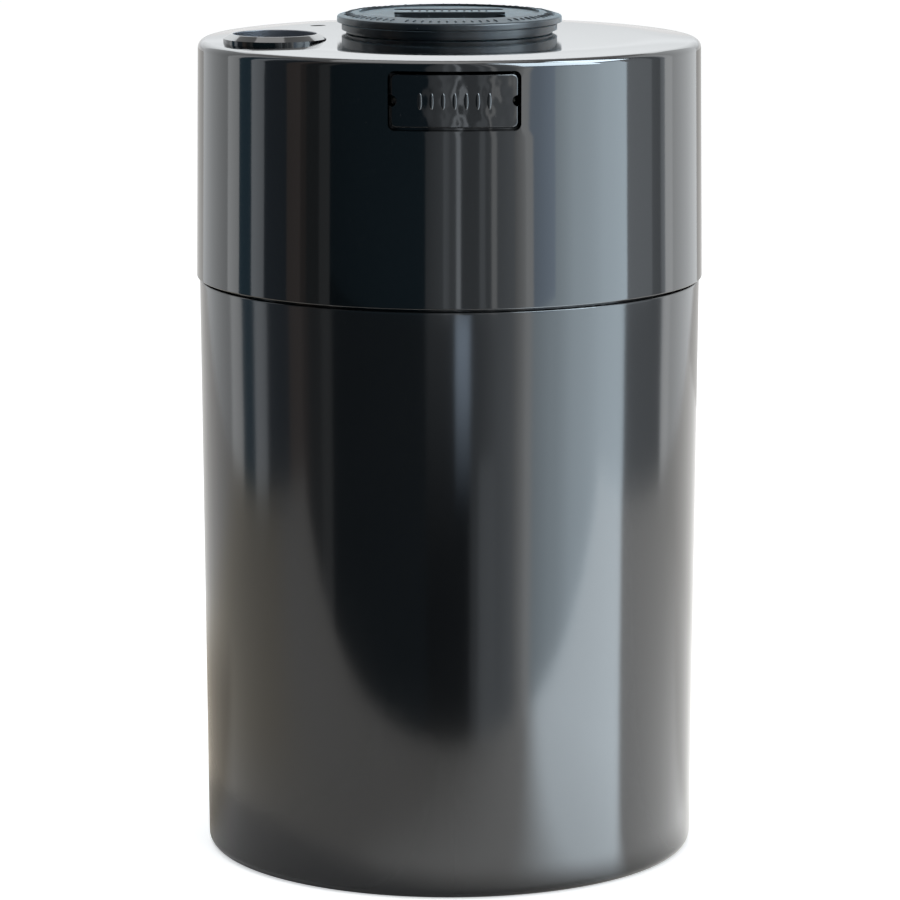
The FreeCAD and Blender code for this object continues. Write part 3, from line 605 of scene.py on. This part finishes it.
# The room that the gloss mirrors: where its cards stand, their heights and their tints.
FRONT, LEFT, RIGHT, REAR = -0.20, -0.50, 0.50, 0.60
TALL, SKYLINE, EAVES, CAP, BOARD, SILL = 0.75, 0.275, 0.235, 0.114, 0.075, 0.07
SIDE_SKYLINE, SIDE_EAVES = 0.48, 0.40
WHITE, COOL, SKY, BLUE = (0.95, 0.98, 1.0), (0.86, 0.93, 1.0), (0.76, 0.90, 1.0), (0.66, 0.81, 1.0)
NIGHT, BROWN, CREAM = (0.40, 0.74, 1.0), (1.0, 0.84, 0.78), (1.0, 0.94, 0.84)
TAN, DIM = (1.0, 0.945, 0.83), (0.67, 0.62, 0.54)
pale_floor()
for name, x0, x1, low, high, first, last, tint in (
        ("front_brown", -0.500, -0.420, 0, TALL, 0.28, 0.25, BROWN),
        ("front_shade", -0.420, -0.310, 0, TALL, 0.15, 0.15, WHITE),
        ("front_shelf", -0.310, -0.250, 0, TALL, 0.31, 0.36, WHITE),
        ("front_dark", -0.250, -0.036, CAP, TALL, 0.09, 0.17, NIGHT),
        ("low_dark", -0.250, -0.036, 0, CAP, 0.03, 0.05, NIGHT),
        ("front_glow", -0.036, -0.012, CAP, TALL, 0.50, 0.80, COOL),
        ("front_gleam", -0.012, -0.004, CAP, TALL, 1.40, 1.10, COOL),
        ("front_dim", -0.004, 0.005, CAP, TALL, 0.85, 0.85, COOL),
        ("slat_near", 0.005, 0.011, CAP, TALL, 2.9, 2.9, COOL),
        ("slat_gap", 0.011, 0.036, CAP, TALL, 0.62, 0.66, COOL),
        ("slat_mid", 0.036, 0.044, CAP, TALL, 1.3, 1.3, COOL),
        ("slat_rest", 0.044, 0.053, CAP, TALL, 0.80, 0.80, COOL),
        ("slat_far", 0.053, 0.061, CAP, TALL, 2.3, 2.3, WHITE),
        ("low_gap", 0.024, 0.036, 0, CAP, 0.50, 0.55, COOL),
        ("low_board", 0.036, 0.061, 0, BOARD, 1.15, 1.25, COOL),
        ("low_rise", 0.036, 0.061, BOARD, CAP, 0.55, 1.00, COOL),
        ("blind", 0.061, 0.090, 0, TALL, 1.05, 1.45, COOL),
        ("blind_edge", 0.090, 0.110, 0, TALL, 1.5, 2.8, WHITE),
        ("frame_edge", 0.110, 0.125, 0, EAVES, 3.4, 3.4, WHITE),
        ("window_near", 0.125, 0.180, CAP, EAVES, 2.7, 4.0, BLUE),
        ("window_low", 0.125, 0.180, 0, CAP, 3.4, 4.8, SKY),
        ("window_mid", 0.180, 0.250, 0, EAVES, 4.5, 6.3, SKY),
        ("window_far", 0.250, 0.500, 0, EAVES, 6.3, 7.6, SKY),
        ("transom", 0.110, 0.500, EAVES, SKYLINE, 2.0, 3.0, BLUE),
        ("open_sky", 0.110, 0.500, SKYLINE, TALL, 20.0, 26.0, SKY)):
    standing(name, (x0, FRONT), (x1, FRONT), low, high, first, last, tint)
standing("low_glow", (-0.036, FRONT), (0.004, FRONT), 0, CAP, 0.42, 0.42, COOL, (0.04, 0.13))
standing("low_strip", (0.004, FRONT), (0.024, FRONT), 0, CAP, 4.3, 4.3, BLUE, (0.058, 0.112))
for name, y0, y1, low, high, first, last, tint in (
        ("left_brown", -0.200, -0.130, 0, TALL, 0.46, 0.38, BROWN),
        ("left_dark", -0.130, -0.012, 0, TALL, 0.22, 0.24, BLUE),
        ("left_stripe", -0.012, 0.062, 0, TALL, 1.4, 1.8, COOL),
        ("left_gap", 0.062, 0.145, 0, TALL, 0.33, 0.33, NIGHT),
        ("left_wall", 0.145, 0.245, 0, TALL, 1.9, 2.1, WHITE),
        ("left_side", 0.245, 0.850, 0, TALL, 1.15, 1.25, WHITE)):
    standing(name, (LEFT, y0), (LEFT, y1), low, high, first, last, tint)
for name, y0, y1, low, high, first, last, tint in (
        ("right_window", -0.200, -0.074, 0, SIDE_EAVES, 7.6, 7.8, SKY),
        ("right_transom", -0.200, -0.074, SIDE_EAVES, SIDE_SKYLINE, 2.6, 2.6, BLUE),
        ("right_frame", -0.074, 0.070, SILL, SIDE_SKYLINE, 2.1, 1.5, COOL),
        ("right_post", 0.070, 0.130, SILL, TALL, 0.95, 0.70, COOL),
        ("right_jamb", 0.130, 0.165, SILL, TALL, 1.2, 1.6, COOL),
        ("right_sill", -0.074, 0.155, 0, SILL, 1.15, 0.60, COOL),
        ("right_step", 0.155, 0.165, 0, SILL, 1.2, 1.6, COOL),
        ("right_gleam", 0.165, 0.235, 0, TALL, 3.0, 2.6, WHITE),
        ("right_side", 0.235, 0.850, 0, TALL, 2.1, 1.6, WHITE)):
    standing(name, (RIGHT, y0), (RIGHT, y1), low, high, first, last, tint)
standing("right_sky", (RIGHT + 0.01, -0.20), (RIGHT + 0.01, 0.03), SIDE_SKYLINE, 1.20, 26.0,
         26.0, SKY)


def window_side(x, y):
    """Distance to the right of the line on the table where the window's glare begins."""
    return 0.82 * (x - 0.024) + 0.57 * (y + 0.055)


def sheen(paint, x, y, z):
    """The table's soft light, strongest on the right and in front, and weak behind the foot."""
    edge = paint.band(window_side(x, y), -0.11, 0.0) * paint.band(x, -0.095, -0.03)
    behind = paint.band(y - 0.75 * x, -0.06, -0.03)
    depth = paint.ramp(y, -0.03, 0.22, 1.0, 0.27).math("MINIMUM", 1 - 0.65 * behind)
    return 1.3 * edge * depth * off_foot(paint, x, y)


def glare(paint, x, y, z):
    """The window's mirror image on the table."""
    edge = paint.band(window_side(x, y), -0.016, 0.020)
    front = paint.band(0 - y - 0.08 * x, 0.036, 0.043)
    return 7.0 * edge * front * paint.ramp(x, 0.05, 0.16, 0.78, 1.0) * off_foot(paint, x, y)


def lying(name, x0, x1, y0, y1, height, level, tint):
    """A clear card just above the table."""
    card(name, [(x0, y0, height), (x1, y0, height), (x1, y1, height), (x0, y1, height)], level,
         tint, clear=True)


def table_shade(name="table_shade"):
    """The left of the table, warmer and with a dim patch, for polished surfaces alone."""
    right, height = -0.02, 1.6 * MM
    board = sheet_of(name, [(LEFT, FRONT, height), (right, FRONT, height),
                            (right, REAR, height), (LEFT, REAR, height)])
    paint = Paint(name)
    x, y, _ = paint.parts(paint.place)
    warm = paint.band(x, -0.05, -0.20) * paint.band(y, -0.12, -0.02) * paint.band(y, 0.30, 0.14)
    dim = paint.band(y + 0.65 * x, -0.06, -0.03) * paint.band(paint.distance(x, y), 0.30, 0.18)
    colour = paint.mix(dim, paint.mix(warm, (1, 1, 1), TAN), DIM)
    paint.add("ShaderNodeOutputMaterial", sockets={"Surface": paint.add(
        "ShaderNodeBsdfTransparent", sockets={"Color": colour})})
    board.data.materials.append(paint.material)
    polish_only(board)


def wall_light(paint, x, y, z):
    """The wall behind the canister, brighter in two steps towards the ceiling."""
    return paint.ramp(z, 0.262, 0.30, 1.10, 1.44) + paint.ramp(z, 0.34, 0.80, 0.0, 2.4)


lying("table_sheen", -0.10, RIGHT, FRONT, REAR, 0.8 * MM, sheen, WHITE)
table_shade()
lying("table_glare", 0.0, RIGHT, FRONT, -0.02, 1.2 * MM, glare, SKY)
card("back_wall", [(x, 0.9, z) for x, z in ((-0.9, 0.24), (0.9, 0.24), (0.9, 1.0), (-0.9, 1.0))],
     wall_light, WHITE)
lamp("key_softbox", (0.60, -0.95, 1.00), (0, 0, 0.12), 0.7, 5.0)
lamp("top_softbox", (-0.15, 0.10, 1.45), (0, 0, 0.15), 0.9, 6.0)

world = bpy.data.worlds.new("studio")
scene.world = world
world.use_nodes = True
sky = Tree(world.node_tree)
sky_seen, sky_gloss = seen_rays(sky)
ambient = sky.add("ShaderNodeBackground", sockets={
    "Color": (1, 1, 1), "Strength": 0.55 + 0.45 * sky_seen.math("MAXIMUM", sky_gloss)})
sky.add("ShaderNodeOutputWorld", sockets={"Surface": ambient})

lens = bpy.data.cameras.new("camera")
lens.lens = 184.46
lens.sensor_width = 36.0
lens.shift_x = 0.0005
lens.clip_end = 20
camera = bpy.data.objects.new("camera", lens)
camera.location = (-0.0218, -1.0877, 0.2896)
camera.rotation_euler = (math.radians(90 - 10.136), 0, math.radians(-1.15))
scene.collection.objects.link(camera)
scene.camera = camera
scene.view_settings.view_transform = "Standard"
